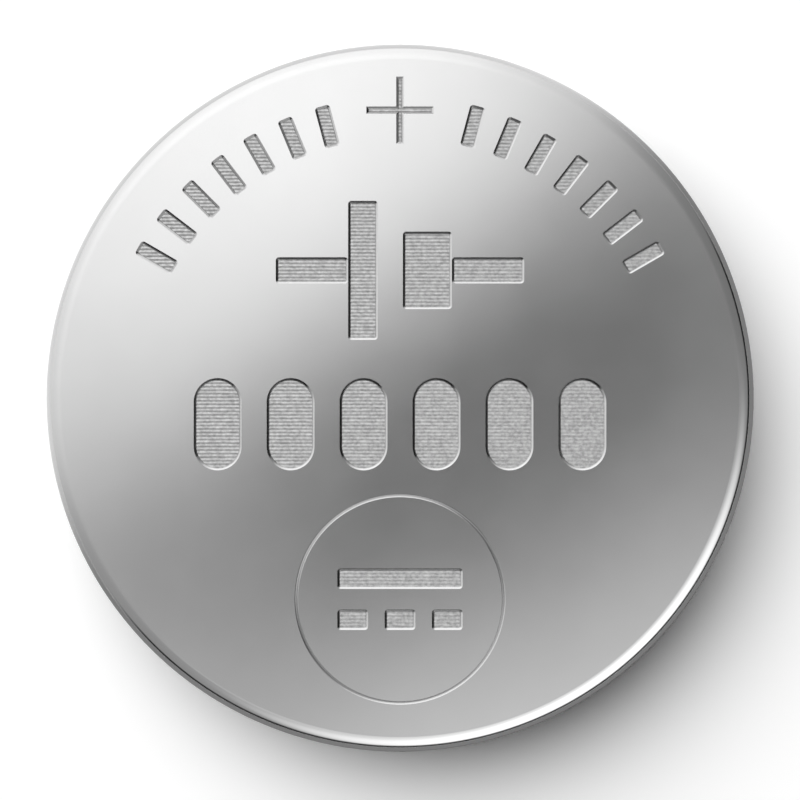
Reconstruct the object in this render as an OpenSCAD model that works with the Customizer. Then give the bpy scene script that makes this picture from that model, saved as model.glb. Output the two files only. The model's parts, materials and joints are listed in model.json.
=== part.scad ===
// Lithium coin cell, 12.5 mm across and 2.5 mm high. It lies on its negative
// contact with the positive face up. The origin is the centre of the negative
// contact. All the pressed parts are turned from one section in the r-z plane.

/* [Cell] */
// Diameter over the can
cell_d = 12.5; // [12.3:0.1:16]
// Height from the negative contact to the positive face
cell_h = 2.5; // [2.1:0.05:3.6]

/* [Positive can] */
// Thickness of the can's sheet steel
can_sheet = 0.2; // [0.15:0.01:0.26]
// Outer radius where the positive face turns into the side wall
can_edge_r = 0.3; // [0.28:0.01:0.45]
// Angle by which the crimped lip turns in past the horizontal
crimp_over = 20; // [5:1:30]

/* [Negative cap] */
// Thickness of the cap's sheet steel
cap_sheet = 0.2; // [0.15:0.01:0.26]
// Distance from the drum's wall out to the centre of the crimp's bend
shoulder_w = 0.75; // [0.7:0.05:1.2]
// Outer radius of the edge round the negative contact
cap_edge_r = 0.3; // [0.28:0.01:0.4]
// Inside radius of the bend between the shoulder and the skirt
cap_bend_r = 0.05; // [0.02:0.01:0.12]
// Inside radius of the bend between the drum and the shoulder
cap_neck_r = 0.1; // [0.05:0.01:0.15]
// Height by which the negative contact stands proud of the crimp
cap_proud = 0.12; // [0.06:0.01:0.2]

/* [Gasket] */
// Thickness of the gasket between the can and the cap
gasket_t = 0.2; // [0.15:0.01:0.25]
// Thickness of the gasket's wall inside the skirt
gasket_inner_t = 0.2; // [0.12:0.01:0.3]
// Width of the gasket's lip that shows inside the crimped lip
gasket_show = 0.22; // [0.15:0.01:0.26]

/* [Inside] */
// Gap between the lithium disc and the drum's wall
anode_gap = 0.35; // [0.25:0.05:0.8]
// Thickness of the separator felt
separator_t = 0.2; // [0.1:0.01:0.3]
// Distance by which the cathode pellet reaches past the lithium disc
cathode_past = 0.2; // [0:0.05:0.8]
// Distance from the pellet's edge in to the edge of the collector grid
collector_inset = 0.3; // [0.05:0.05:0.8]
// Thickness of the collector grid
collector_t = 0.1; // [0.05:0.01:0.15]
// Width of one diamond hole of the grid, across the cell
grid_hole_w = 0.84; // [0.6:0.02:1]
// Height of one diamond hole of the grid
grid_hole_h = 0.5; // [0.4:0.02:0.7]
// Width of the strands between the holes
grid_strand = 0.12; // [0.1:0.01:0.2]
// Width of the plain rim round the grid
grid_rim = 0.2; // [0.1:0.01:0.4]

/* [Stamped marks] */
// Depth of every stamped mark below the positive face
mark_depth = 0.04; // [0.02:0.01:0.1]
// Length of the plus sign's bars
plus_span = 1.18; // [0.6:0.02:1.4]
// Width of the plus sign's bars
plus_stroke = 0.13; // [0.08:0.01:0.3]
// Distance from the side wall in to the middle of the plus sign
plus_inset = 1.2; // [1.15:0.05:1.4]
// Number of ticks on each side of the plus sign
tick_count = 7; // [2:1:9]
// Length of a tick along the radius
tick_len = 0.74; // [0.4:0.02:0.9]
// Width of a tick
tick_w = 0.27; // [0.1:0.01:0.4]
// Distance from the side wall in to the middles of the ticks
tick_inset = 1.32; // [1:0.02:1.4]
// Angle from the plus sign to the first tick
tick_from = 15; // [14:1:20]
// Angle from the plus sign to the last tick
tick_to = 60; // [50:1:75]
// Height of the cell symbol's middle above the centre of the face
symbol_y = 2.24; // [2.1:0.02:2.4]
// Width of the cell symbol over its leads
symbol_w = 4.36; // [3:0.02:4.8]
// Height of the cell symbol's long plate
long_plate_h = 2.44; // [1.6:0.02:2.6]
// Width of the cell symbol's long plate
long_plate_w = 0.52; // [0.3:0.02:0.7]
// Height of the cell symbol's short plate
short_plate_h = 1.36; // [0.8:0.02:1.6]
// Width of the cell symbol's short plate
short_plate_w = 0.86; // [0.3:0.02:1]
// Gap between the two plates
plate_gap = 0.44; // [0.2:0.02:0.6]
// Width of the cell symbol's leads
lead_w = 0.46; // [0.2:0.02:0.6]
// Number of pills in the row across the middle
pill_count = 6; // [2:1:7]
// Width of a pill
pill_w = 0.84; // [0.4:0.02:0.9]
// Height of a pill
pill_h = 1.62; // [1:0.02:1.8]
// Spacing of the pills
pill_pitch = 1.28; // [1:0.02:1.4]
// Height of the row's middle above the centre of the face
pill_y = -0.46; // [-0.5:0.02:-0.3]
// Radius of the thin ring
ring_r = 1.82; // [1.4:0.02:1.9]
// Width of the thin ring's line
ring_line = 0.06; // [0.04:0.01:0.15]
// Distance from the side wall in to the ring's middle
ring_inset = 2.72; // [2.5:0.02:2.8]
// Length of the direct-current symbol's unbroken bar
dc_bar_w = 2.2; // [1.4:0.02:2.4]
// Width of the direct-current symbol's strokes
dc_stroke = 0.36; // [0.2:0.02:0.5]
// Spacing of the direct-current symbol's two lines
dc_pitch = 0.72; // [0.6:0.02:0.9]
// Number of dashes in the broken line
dc_dashes = 3; // [2:1:4]
// Gap between the dashes
dc_gap = 0.29; // [0.1:0.01:0.3]

/* [Hidden] */
$fn = 96;
// Overrun of a cut past the face that it opens
over = 0.5;

cell_r = cell_d / 2;
can_inner_r = cell_r - can_sheet;
can_inner_z = cell_h - can_sheet;

// The crimp, the gasket and the cap's shoulder bend round one centre.
cap_corner_r = cap_bend_r + cap_sheet;
crimp_inner_r = cap_corner_r + gasket_t;
crimp_r = crimp_inner_r + can_sheet;
crimp_c = [cell_r - crimp_r, cap_proud + crimp_r];
lip_mid_r = (crimp_r + crimp_inner_r) / 2;
lip_end = crimp_c - lip_mid_r * [sin(crimp_over), cos(crimp_over)];

// The cap: face, drum, shoulder and skirt.
drum_r = crimp_c.x - shoulder_w;
shoulder_z = crimp_c.y - cap_corner_r;
shoulder_top_z = shoulder_z + cap_sheet;
skirt_r = crimp_c.x + cap_corner_r;
skirt_inner_r = skirt_r - cap_sheet;
skirt_top_z = can_inner_z - gasket_t;

// The gasket's exposed lip starts inside the crimped lip's round end.
gasket_lip_r = lip_end.x - can_sheet / 2 - gasket_show;
gasket_inner_r = skirt_inner_r - gasket_inner_t;

// The stack from the cap to the can.
anode_r = drum_r - cap_sheet - anode_gap;
separator_top_z = shoulder_top_z + separator_t;
separator_r = skirt_inner_r - cap_bend_r;
cathode_r = anode_r + cathode_past;
collector_z = can_inner_z - collector_t;
collector_r = cathode_r - collector_inset;

// A disc's half section: a rectangle from the axis out to r with its two
// outer corners rounded.
module disc_section(r, z0, z1, low_r, high_r) {
    translate([0, z0 + low_r]) square([r, z1 - high_r - z0 - low_r]);
    translate([0, z0]) square([r - low_r, low_r]);
    translate([r - low_r, z0 + low_r]) circle(low_r);
    translate([0, z1 - high_r]) square([r - high_r, high_r]);
    translate([r - high_r, z1 - high_r]) circle(high_r);
}

// A bend of sheet round a centre, from angle a0 to angle a1, under 180 degrees.
module bend_section(centre, r_in, r_out, a0, a1) {
    reach = r_out / cos((a1 - a0) / 4) + over;
    translate(centre) intersection() {
        difference() {
            circle(r_out);
            circle(r_in);
        }
        polygon([
            [0, 0],
            for (k = [0:2]) reach * [
                cos(a0 + (a1 - a0) * k / 2), sin(a0 + (a1 - a0) * k / 2)
            ]
        ]);
    }
}

module can_section() {
    difference() {
        disc_section(cell_r, cap_proud, cell_h, crimp_r, can_edge_r);
        disc_section(
            can_inner_r, cap_proud + can_sheet, can_inner_z,
            crimp_inner_r, can_edge_r - can_sheet
        );
        square([crimp_c.x, crimp_c.y]);
    }
    bend_section(crimp_c, crimp_inner_r, crimp_r, 270 - crimp_over, 270);
    translate(lip_end) circle(can_sheet / 2);
}

module cap_section() {
    face_r = drum_r - cap_edge_r;
    neck_out_r = cap_neck_r + cap_sheet;
    neck_c = [drum_r + cap_neck_r, shoulder_z - cap_neck_r];
    square([face_r, cap_sheet]);
    bend_section([face_r, cap_edge_r], cap_edge_r - cap_sheet, cap_edge_r, 270, 360);
    translate([drum_r - cap_sheet, cap_edge_r])
        square([cap_sheet, neck_c.y - cap_edge_r]);
    bend_section(neck_c, cap_neck_r, neck_out_r, 90, 180);
    translate([neck_c.x, shoulder_z]) square([crimp_c.x - neck_c.x, cap_sheet]);
    bend_section(crimp_c, cap_bend_r, cap_corner_r, 270, 360);
    translate([skirt_inner_r, crimp_c.y])
        square([cap_sheet, skirt_top_z - crimp_c.y]);
}

// A ring of J section: it lines the can, turns in under the crimp to a round
// lip on the cap's shoulder, and holds the skirt's edge in a groove.
module gasket_section() {
    lip_r = gasket_t / 2;
    difference() {
        union() {
            translate([skirt_r, crimp_c.y])
                square([gasket_t, can_inner_z - crimp_c.y]);
            bend_section(crimp_c, cap_corner_r, crimp_inner_r, 270, 360);
            translate([gasket_lip_r + lip_r, shoulder_z - gasket_t])
                square([crimp_c.x - gasket_lip_r - lip_r, gasket_t]);
            translate([gasket_lip_r + lip_r, shoulder_z - lip_r]) circle(lip_r);
            translate([gasket_inner_r, skirt_top_z])
                square([skirt_r - gasket_inner_r, gasket_t]);
            translate([gasket_inner_r, separator_top_z])
                square([gasket_inner_t, can_inner_z - separator_top_z]);
        }
        can_section();
    }
}

// A stamped bar with square ends.
module bar(w, h) {
    square([w, h], center = true);
}

// A stamped bar with round ends.
module pill(w, h) {
    square([w, h - w], center = true);
    for (side = [-1, 1]) translate([0, side * (h - w) / 2]) circle(w / 2);
}

module plus_mark() {
    bar(plus_span, plus_stroke);
    bar(plus_stroke, plus_span);
}

module tick_arc() {
    step = (tick_to - tick_from) / (tick_count - 1);
    for (side = [-1, 1], k = [0:tick_count - 1])
        rotate(side * (tick_from + k * step))
            translate([0, cell_r - tick_inset]) bar(tick_w, tick_len);
}

// The circuit symbol of a cell: a long and a short plate between two leads.
module cell_symbol() {
    plates_w = long_plate_w + plate_gap + short_plate_w;
    lead_len = (symbol_w - plates_w) / 2;
    translate([(long_plate_w - plates_w) / 2, 0]) bar(long_plate_w, long_plate_h);
    translate([(plates_w - short_plate_w) / 2, 0])
        bar(short_plate_w, short_plate_h);
    for (side = [-1, 1])
        translate([side * (plates_w + lead_len) / 2, 0]) bar(lead_len, lead_w);
}

module pill_row() {
    for (k = [0:pill_count - 1])
        translate([(k - (pill_count - 1) / 2) * pill_pitch, 0])
            pill(pill_w, pill_h);
}

// The direct-current symbol, an unbroken line over a broken one, in a ring.
module ringed_symbol() {
    dash_w = (dc_bar_w - (dc_dashes - 1) * dc_gap) / dc_dashes;
    difference() {
        circle(ring_r + ring_line / 2);
        circle(ring_r - ring_line / 2);
    }
    translate([0, dc_pitch / 2]) bar(dc_bar_w, dc_stroke);
    for (k = [0:dc_dashes - 1])
        translate([(k - (dc_dashes - 1) / 2) * (dash_w + dc_gap), -dc_pitch / 2])
            bar(dash_w, dc_stroke);
}

module stamped_marks() {
    translate([0, 0, cell_h - mark_depth]) linear_extrude(mark_depth + over) {
        translate([0, cell_r - plus_inset]) plus_mark();
        tick_arc();
        translate([0, symbol_y]) cell_symbol();
        translate([0, pill_y]) pill_row();
        translate([0, ring_inset - cell_r]) ringed_symbol();
    }
}

module positive_can() {
    color("#c4c6c5") difference() {
        rotate_extrude() can_section();
        stamped_marks();
    }
}

module negative_cap() {
    color("#b9bbbb") rotate_extrude() cap_section();
}

module sealing_gasket() {
    color("#2e3033") rotate_extrude() gasket_section();
}

module lithium_anode() {
    color("#d6d6d2") translate([0, 0, cap_sheet])
        cylinder(r = anode_r, h = shoulder_top_z - cap_sheet);
}

module separator() {
    color("#f1efe9") translate([0, 0, shoulder_top_z])
        cylinder(r = separator_r, h = separator_t);
}

module cathode_pellet() {
    color("#26272a") translate([0, 0, separator_top_z])
        cylinder(r = cathode_r, h = collector_z - separator_top_z);
}

// Expanded metal: staggered rows of diamond holes, all of them whole.
module grid_holes() {
    across = grid_hole_w + 2 * grid_strand;
    up = (grid_hole_h + 2 * grid_strand) / 2;
    rows = ceil(collector_r / up);
    columns = ceil(collector_r / across);
    clear_r = collector_r - grid_rim;
    for (row = [-rows:rows], column = [-columns:columns]) {
        x = (column + (abs(row) % 2) / 2) * across;
        y = row * up;
        if (norm([abs(x) + grid_hole_w / 2, y]) < clear_r
            && norm([x, abs(y) + grid_hole_h / 2]) < clear_r)
            translate([x, y]) polygon([
                [-grid_hole_w / 2, 0], [0, -grid_hole_h / 2],
                [grid_hole_w / 2, 0], [0, grid_hole_h / 2]
            ]);
    }
}

module cathode_collector() {
    color("#a9abab") translate([0, 0, collector_z]) linear_extrude(collector_t)
        difference() {
            circle(collector_r);
            grid_holes();
        }
}

positive_can();
negative_cap();
sealing_gasket();
lithium_anode();
separator();
cathode_pellet();
cathode_collector();
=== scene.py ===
"""A lithium coin cell, dressed round its packed solids for a plain studio picture.

The can, the cap and the gasket are turned from the same section as the solids,
much finer, and the marks in the positive face are struck with sloped walls and
a ridged floor. Blender works in metres, so the sizes below are in metres too.
"""

import json
import math

import bmesh
import bpy
from mathutils import Matrix, Vector

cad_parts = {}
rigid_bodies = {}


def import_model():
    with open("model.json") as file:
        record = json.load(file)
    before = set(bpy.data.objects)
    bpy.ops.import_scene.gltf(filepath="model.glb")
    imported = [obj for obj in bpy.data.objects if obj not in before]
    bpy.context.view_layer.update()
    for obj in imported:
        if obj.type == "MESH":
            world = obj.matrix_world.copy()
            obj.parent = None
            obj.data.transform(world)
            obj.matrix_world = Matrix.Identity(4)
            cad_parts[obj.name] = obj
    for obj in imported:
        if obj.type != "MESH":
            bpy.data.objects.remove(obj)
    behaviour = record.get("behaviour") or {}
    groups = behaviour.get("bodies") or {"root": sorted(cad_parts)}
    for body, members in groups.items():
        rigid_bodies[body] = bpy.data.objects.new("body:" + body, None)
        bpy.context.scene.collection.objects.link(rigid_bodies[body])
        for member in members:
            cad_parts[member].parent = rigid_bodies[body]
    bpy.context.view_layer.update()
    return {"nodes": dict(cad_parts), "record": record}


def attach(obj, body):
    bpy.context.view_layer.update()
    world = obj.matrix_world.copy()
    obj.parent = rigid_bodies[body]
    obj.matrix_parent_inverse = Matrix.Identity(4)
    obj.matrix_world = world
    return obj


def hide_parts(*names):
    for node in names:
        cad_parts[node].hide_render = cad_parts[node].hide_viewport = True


bl_info = {
    "name": "Lithium coin cell",
    "version": (1, 0, 0),
    "blender": (4, 5, 0),
    "location": "3D View > Sidebar > Coin cell",
    "description": "Dresses a lithium coin cell and lights it in a small studio",
    "category": "Object",
}

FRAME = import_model()
MM = 0.001
MOUNTS = {mount["name"]: mount for mount in FRAME["record"]["mounts"]}
CELL_R = MOUNTS["can_wall"]["dims"]["r_mm"] * MM
CELL_H = MOUNTS["positive_contact"]["pos_m"][2]

# Kinds of node, and settings of theirs, that the trees below use many times.
MATH = "ShaderNodeMath"
VECTOR = "ShaderNodeVectorMath"
MIX = "ShaderNodeMix"
RANGE = "ShaderNodeMapRange"
BUMP = "ShaderNodeBump"
SURFACE = "ShaderNodeBsdfPrincipled"
OUTPUT = "ShaderNodeOutputMaterial"
ADD, SUBTRACT, MULTIPLY, DIVIDE, MODULO, MAXIMUM, LESS, ROOT, DOT, SCALE = [
    {"operation": name} for name in (
        "ADD", "SUBTRACT", "MULTIPLY", "DIVIDE", "MODULO", "MAXIMUM", "LESS_THAN",
        "SQRT", "DOT_PRODUCT", "SCALE",
    )
]
SMOOTH = {"interpolation_type": "SMOOTHSTEP"}

# Points closer than this are one point. Then the steps in a quarter bend at a mark's
# corner, and at a pill's round end.
WELD = 0.0001 * MM
CORNER_STEPS = 8
ROUND_STEPS = 14
# How thick the slab with the ridged underside is, in depths of a mark.
SLAB_DEPTHS = 4
# An edge between flat and bent faces, or sharper than the crease, stays crisp.
FLAT = 0.99999
CREASE = math.radians(12)

# Most of a noise's values lie in this span.
NOISE_SPAN = (0.3, 0.7)
# Sizes of the patterns on the two pressed sheets: the fine grain of the plating, its
# cloudy patches, and the bead pattern of the die's matt floor. The grain and the bead
# pattern are drawn coarser than they are, so that they show. Then what each pattern,
# the die's rubbing and the ridges do to the roughness or the lightness. The bead
# pattern's lightness darkens the marks' floors as painted shade in the recesses, and
# the ridges' lightness is painted shade in each furrow and painted light on each ridge.
PLATE_GRAIN = 0.035 * MM
PLATE_CLOUD = 1.6 * MM
BEAD_GRAIN = 0.045 * MM
SATIN_ROUGHNESS = (0.12, 0.135)
CLOUD_ROUGHNESS = 0.012
CLOUD_TINT = (0.96, 1.0)
RUB_ROUGHNESS = -0.02
STRUCK_ROUGHNESS = 0.16
# Painted shade: the struck floors are drawn darker than the face, in a bead pattern.
BEAD_TONE_AND_SHADE = (0.4, 0.66)
# Painted shade in each furrow and painted light on each ridge.
FURROW_SHADE = (0.88, 1.12)
# The struck finish, a matt roughness and a painted shade, sets in between these
# depths and stops between those, in depths of a mark.
STRUCK_FROM = (0.8, 0.6)
STRUCK_TO = (3, 2)
# Sizes of the patterns on the other pieces: the gasket's flow marks and grain, the
# anode's streaks, the felt's fibres, the pellet's grit and the grid's streaks. The
# fibres and the grit are drawn coarser than they are too.
FLOW = 0.4 * MM
MOULD_GRAIN = 0.06 * MM
ROLL_STREAK = 0.12 * MM
FIBRE = 0.05 * MM
GRIT = 0.05 * MM
STRAND_STREAK = 0.03 * MM

# What the metal mirrors is a tent. Its levels run across the top of the sky, from
# the upper left to the lower right: how far across (the sine of the angle from
# straight up), and how bright, as a share of the brightest. Beyond the top's edge,
# also a sine, the cloth hangs straight down. Bearings are from +X towards +Y, in
# degrees.
SEAM_BEARING = -57
TENT_BRIGHTEST = 1.5
TENT_EDGE = 0.16
TENT_LEVELS = (
    (-0.2, 0.97), (-0.13, 0.99), (-0.07, 0.93), (-0.045, 0.45), (-0.015, 0.1),
    (0.03, 0.02), (0.07, 0.09), (0.12, 0.4), (0.17, 0.57), (0.2, 0.6),
)
# Towards the lower left and the upper right the tent hazes over to one level.
# Each haze has its level, the share it reaches, and its span along the seam.
HAZES = (
    (0.6, 0.85, (0.02, -0.25)),
    (0.42, 0.6, (0.09, 0.17)),
)
# A bright panel stands at the lower right, and a weak one high at the bottom.
# A place is degrees from straight up and a bearing, and a fade is the angles
# from it between which the light ends.
PANEL_PLACE = (54, -60)
PANEL_LEVEL = 1.1
PANEL_FADE = (14, 49)
VEIL_PLACE = (14, -100)
VEIL_LEVEL = 0.2
VEIL_FADE = (3, 11)
# The tent's side at the lower right has a black skirt. Its top edge fades between
# these heights and its ends between these places across, all as sines.
SKIRT_SPAN = (0.2, 0.38)
SKIRT_SIDE = (0.0, 0.2)
SKIRT_SHARE = 0.97
# Heights, as sines, between which the white horizon fades into the tent.
HORIZON_FADE = (0.0, 0.02)
# The grey card is painted reflected shade: only the metal sees it, as a dark line round
# the rim. Steps round the card, how far it lies above the floor, and where it fades out
# to its sides, as cosines of the turn from its bearing.
CARD_STEPS = 96
CARD_LIFT = 0.01 * MM
CARD_FADE = (0.0, -0.55)
# Matt things are lit by a wide lamp high at the upper left.
LAMP_PLACE = (33, 126)
LAMP_LEVEL = 4.2
LAMP_FADE = (0, 44)


def srgb(code):
    """Turns an sRGB hex code into the linear colour that Blender works in."""
    channels = [int(code[i:i + 2], 16) / 255 for i in (1, 3, 5)]
    return [
        c / 12.92 if c <= 0.04045 else ((c + 0.055) / 1.055) ** 2.4
        for c in channels
    ]


def length(name, description, default):
    """A length property in metres."""
    return bpy.props.FloatProperty(
        name=name, description=description, default=default, min=0,
        unit="LENGTH", precision=6,
    )


def angle(name, description, degrees):
    """An angle property, written here in degrees."""
    return bpy.props.FloatProperty(
        name=name, description=description, default=math.radians(degrees),
        unit="ROTATION", subtype="ANGLE",
    )


def count(name, description, default):
    """A whole number of copies or steps."""
    return bpy.props.IntProperty(
        name=name, description=description, default=default, min=1
    )


def level(name, description, default):
    """A plain number such as a strength or a share."""
    return bpy.props.FloatProperty(
        name=name, description=description, default=default, min=0
    )


def colour(name, description, code):
    """A colour property, written here as an sRGB hex code."""
    return bpy.props.FloatVectorProperty(
        name=name, description=description, default=srgb(code), size=3,
        subtype="COLOR", min=0, max=1,
    )


class CELL_PG_section(bpy.types.PropertyGroup):
    """Sizes of the turned section that the can, the cap and the gasket share."""

    cell_r: length("Cell radius", "Radius over the can", CELL_R)
    cell_h: length("Cell height", "From the negative contact up", CELL_H)
    can_sheet: length("Can sheet", "Thickness of the can", 0.2 * MM)
    can_edge_r: length("Can edge", "Radius round the positive face", 0.3 * MM)
    crimp_over: angle("Crimp", "How far the lip turns past level", 20)
    cap_sheet: length("Cap sheet", "Thickness of the cap", 0.2 * MM)
    shoulder_w: length("Shoulder", "From the drum to the crimp's bend", 0.75 * MM)
    cap_edge_r: length("Cap edge", "Radius round the negative face", 0.3 * MM)
    cap_bend_r: length("Skirt bend", "Inside radius at the skirt", 0.05 * MM)
    cap_neck_r: length("Neck bend", "Inside radius at the drum", 0.1 * MM)
    cap_proud: length("Proud", "How far the cap stands out", 0.12 * MM)
    gasket_t: length("Gasket", "Thickness of the gasket", 0.2 * MM)
    gasket_inner_t: length("Gasket wall", "Thickness inside the skirt", 0.2 * MM)
    gasket_show: length("Gasket lip", "Width that shows at the crimp", 0.22 * MM)
    separator_t: length("Separator", "Thickness of the felt", 0.2 * MM)
    steps_round: count("Steps round", "Steps in a full turn", 288)
    bend_steps: count("Bend steps", "Steps in a quarter bend that shows", 20)
    hidden_steps: count("Hidden steps", "Steps in a bend that is hidden", 8)


class CELL_PG_marks(bpy.types.PropertyGroup):
    """Sizes and places of the marks struck into the positive face."""

    depth: length("Depth", "Below the face", 0.04 * MM)
    wall_w: length("Wall", "Width of a mark's sloped wall", 0.045 * MM)
    corner_r: length("Corner", "Radius of a mark's corners", 0.06 * MM)
    hatch_pitch: length("Hatch pitch", "Spacing of the floor's ridges", 0.062 * MM)
    hatch_h: length("Hatch height", "From a ridge to a furrow", 0.0042 * MM)
    hatch_step: length("Hatch step", "Spacing of points along a ridge", 0.031 * MM)
    hatch_rough: length("Hatch roughness", "How far the ridges wander", 0.0014 * MM)
    plus_span: length("Plus span", "Length of its bars", 1.18 * MM)
    plus_stroke: length("Plus stroke", "Width of its bars", 0.13 * MM)
    plus_inset: length("Plus inset", "From the side wall in", 1.2 * MM)
    tick_count: count("Ticks", "On each side of the plus", 7)
    tick_len: length("Tick length", "Along the radius", 0.74 * MM)
    tick_w: length("Tick width", "Across the radius", 0.27 * MM)
    tick_inset: length("Tick inset", "From the side wall in", 1.32 * MM)
    tick_from: angle("First tick", "Angle from the plus", 15)
    tick_to: angle("Last tick", "Angle from the plus", 60)
    symbol_y: length("Symbol height", "Middle of the cell symbol", 2.24 * MM)
    symbol_w: length("Symbol width", "Over its leads", 4.36 * MM)
    long_plate_h: length("Long plate height", "Its long side", 2.44 * MM)
    long_plate_w: length("Long plate width", "Its short side", 0.52 * MM)
    short_plate_h: length("Short plate height", "Its long side", 1.36 * MM)
    short_plate_w: length("Short plate width", "Its short side", 0.86 * MM)
    plate_gap: length("Plate gap", "Between the plates", 0.44 * MM)
    lead_w: length("Lead width", "Of the symbol's leads", 0.46 * MM)
    pill_count: count("Pills", "In the row across the middle", 6)
    pill_w: length("Pill width", "Over its round ends", 0.84 * MM)
    pill_h: length("Pill height", "From end to end", 1.62 * MM)
    pill_pitch: length("Pill spacing", "From one to the next", 1.28 * MM)
    pill_drop: length("Pill drop", "Below the face's centre", 0.46 * MM)
    ring_r: length("Ring radius", "To the middle of its line", 1.82 * MM)
    ring_line: length("Ring line", "Width of its line", 0.06 * MM)
    ring_inset: length("Ring inset", "From the side wall in", 2.72 * MM)
    dc_bar_w: length("Unbroken line", "Its length", 2.2 * MM)
    dc_stroke: length("Line stroke", "Width of both lines", 0.36 * MM)
    dc_pitch: length("Line spacing", "Between the two lines", 0.72 * MM)
    dc_dashes: count("Dashes", "In the broken line", 3)
    dc_gap: length("Dash gap", "Between the dashes", 0.29 * MM)


class CELL_PG_colours(bpy.types.PropertyGroup):
    """Colours of the materials."""

    can: colour("Can", "Nickel plating on the can", "#D0D0D0")
    cap: colour("Cap", "Nickel plating on the cap", "#CBCBCB")
    gasket: colour("Gasket", "Moulded polypropylene", "#2E3033")
    lithium: colour("Lithium", "Rolled lithium foil", "#D2D2CC")
    felt: colour("Separator", "Non-woven felt", "#EFECE4")
    cathode: colour("Cathode", "Pressed powder", "#232427")
    grid: colour("Collector", "Expanded sheet steel", "#AEB0AF")
    floor: colour("Floor", "Matt white paper", "#F4F4F4")
    # The card's grey is painted reflected shade: only the metal sees it.
    card: colour("Card", "Matt grey card", "#9C9C9C")


class CELL_PG_studio(bpy.types.PropertyGroup):
    """The camera, the floor and the light."""

    photo_px: count("Picture width", "Of the square picture, in pixels", 800)
    cell_px: level("Cell width", "Diameter of the cell, in pixels", 707)
    shift_px: level("Cell shift", "Pixels that its centre is above the picture's", 2)
    lens: level("Lens", "Focal length in millimetres", 100)
    floor_half: length("Floor", "Half of its width", 400 * MM)
    floor_gain: level("Floor gain", "How much lighter it is seen", 1.25)
    card_r: length("Card", "Radius of the grey card", 200 * MM)
    card_bearing: angle("Card bearing", "From +X towards +Y", -55)


def arc(centre, radius, start, end, steps):
    """Points of an arc from one angle to another, in degrees, ends included."""
    turns = [math.radians(start + (end - start) * k / steps) for k in range(steps + 1)]
    return [centre + radius * Vector((math.cos(t), math.sin(t))) for t in turns]


class Seal:
    """The places that the can, the cap and the gasket share at the crimp."""

    def __init__(self, s):
        self.corner_r = s.cap_bend_r + s.cap_sheet
        self.inner_r = self.corner_r + s.gasket_t
        self.outer_r = self.inner_r + s.can_sheet
        self.centre = Vector((s.cell_r - self.outer_r, s.cap_proud + self.outer_r))
        self.lip_turn = 270 - math.degrees(s.crimp_over)
        middle = (self.inner_r + self.outer_r) / 2
        self.lip = arc(self.centre, middle, self.lip_turn, self.lip_turn, 1)[0]
        self.lip_r = s.can_sheet / 2
        self.drum_r = self.centre.x - s.shoulder_w
        self.shoulder_z = self.centre.y - self.corner_r
        self.shoulder_top_z = self.shoulder_z + s.cap_sheet
        self.skirt_r = self.centre.x + self.corner_r
        self.skirt_inner_r = self.skirt_r - s.cap_sheet
        self.can_inner_z = s.cell_h - s.can_sheet
        self.skirt_top_z = self.can_inner_z - s.gasket_t


def can_section(s):
    """The can's section, from the middle of its face round to the inside."""
    seal = Seal(s)
    edge = Vector((s.cell_r - s.can_edge_r, s.cell_h - s.can_edge_r))
    turn = seal.lip_turn
    return [
        Vector((0, s.cell_h)),
        *arc(edge, s.can_edge_r, 90, 0, s.bend_steps),
        *arc(seal.centre, seal.outer_r, 360, turn, s.bend_steps),
        *arc(seal.lip, seal.lip_r, turn, turn - 180, s.bend_steps)[1:-1],
        *arc(seal.centre, seal.inner_r, turn, 360, s.hidden_steps),
        *arc(edge, s.can_edge_r - s.can_sheet, 0, 90, s.hidden_steps),
        Vector((0, seal.can_inner_z)),
    ]


def cap_section(s):
    """The cap's section, from the middle of its contact round to the inside."""
    seal = Seal(s)
    edge = Vector((seal.drum_r - s.cap_edge_r, s.cap_edge_r))
    neck = Vector((seal.drum_r + s.cap_neck_r, seal.shoulder_z - s.cap_neck_r))
    return [
        Vector((0, 0)),
        *arc(edge, s.cap_edge_r, -90, 0, s.bend_steps),
        *arc(neck, s.cap_neck_r, 180, 90, s.bend_steps),
        *arc(seal.centre, seal.corner_r, 270, 360, s.hidden_steps),
        Vector((seal.skirt_r, seal.skirt_top_z)),
        Vector((seal.skirt_inner_r, seal.skirt_top_z)),
        *arc(seal.centre, s.cap_bend_r, 360, 270, s.hidden_steps),
        *arc(neck, s.cap_neck_r + s.cap_sheet, 90, 180, s.hidden_steps),
        *arc(edge, s.cap_edge_r - s.cap_sheet, 0, -90, s.hidden_steps),
        Vector((0, s.cap_sheet)),
    ]


def gasket_section(s):
    """The gasket's closed section, which the can's lip presses into."""
    seal = Seal(s)
    round_r = s.gasket_t / 2
    lip_x = seal.lip.x - seal.lip_r - s.gasket_show + round_r
    under_z = seal.shoulder_z - s.gasket_t
    bite = 180 - math.degrees(math.asin((under_z - seal.lip.y) / seal.lip_r))
    edge = Vector((s.cell_r - s.can_edge_r, s.cell_h - s.can_edge_r))
    inner_r = seal.skirt_inner_r - s.gasket_inner_t
    inner_z = seal.shoulder_top_z + s.separator_t
    turn = seal.lip_turn
    return [
        Vector((seal.centre.x, seal.shoulder_z)),
        *arc(Vector((lip_x, seal.shoulder_z - round_r)), round_r, 90, 270, s.bend_steps),
        *arc(seal.lip, seal.lip_r, bite, turn - 180, s.hidden_steps)[:-1],
        *arc(seal.centre, seal.inner_r, turn, 360, s.hidden_steps),
        *arc(edge, s.can_edge_r - s.can_sheet, 0, 90, s.hidden_steps),
        Vector((inner_r, seal.can_inner_z)),
        Vector((inner_r, inner_z)),
        Vector((seal.skirt_inner_r, inner_z)),
        Vector((seal.skirt_inner_r, seal.skirt_top_z)),
        Vector((seal.skirt_r, seal.skirt_top_z)),
        *arc(seal.centre, seal.corner_r, 360, 270, s.hidden_steps)[:-1],
    ]


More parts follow.
